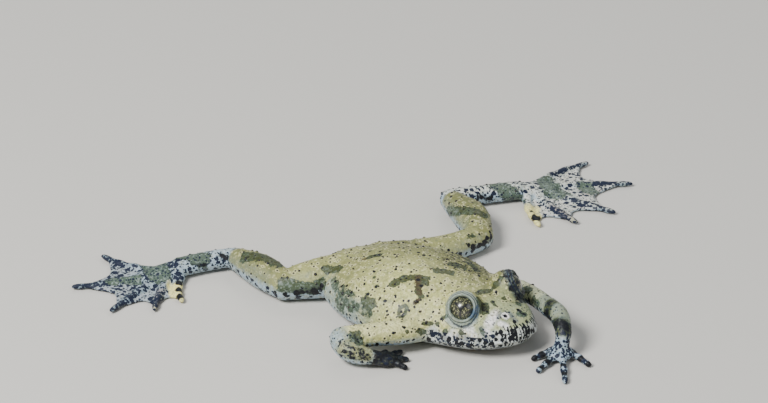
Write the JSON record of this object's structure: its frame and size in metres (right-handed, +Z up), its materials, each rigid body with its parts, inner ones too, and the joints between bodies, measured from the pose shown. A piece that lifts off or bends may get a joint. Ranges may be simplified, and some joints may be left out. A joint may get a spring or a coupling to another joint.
{
  "type": "fire-bellied toad",
  "caption": "Still life-size model of a small fire-bellied toad in a floating pose: flat on its belly, head raised, arms bent and webbed hind feet spread wide to the sides.",
  "frame": {"origin": "point of the belly's flat on the floor, under the chest, on the midline", "axes": "+Y the way the toad faces, +X to its right, +Z up"},
  "size_m": [0.0954, 0.0853, 0.0112],
  "materials": {
    "skin": "moist, finely warty skin, pale olive with dark spots, yellow and black below",
    "eye": "wet, brassy iris flecked with black under a clear cornea"
  },
  "bodies": {
    "root": {"head": "skin", "torso": "skin", "eye_right": "eye", "eye_left": "eye", "upper_arm_right": "skin", "forearm_right": "skin", "hand_right": "skin", "thigh_right": "skin", "shank_right": "skin", "tarsus_right": "skin", "foot_right": "skin", "upper_arm_left": "skin", "forearm_left": "skin", "hand_left": "skin", "thigh_left": "skin", "shank_left": "skin", "tarsus_left": "skin", "foot_left": "skin"}
  },
  "joints": []
}
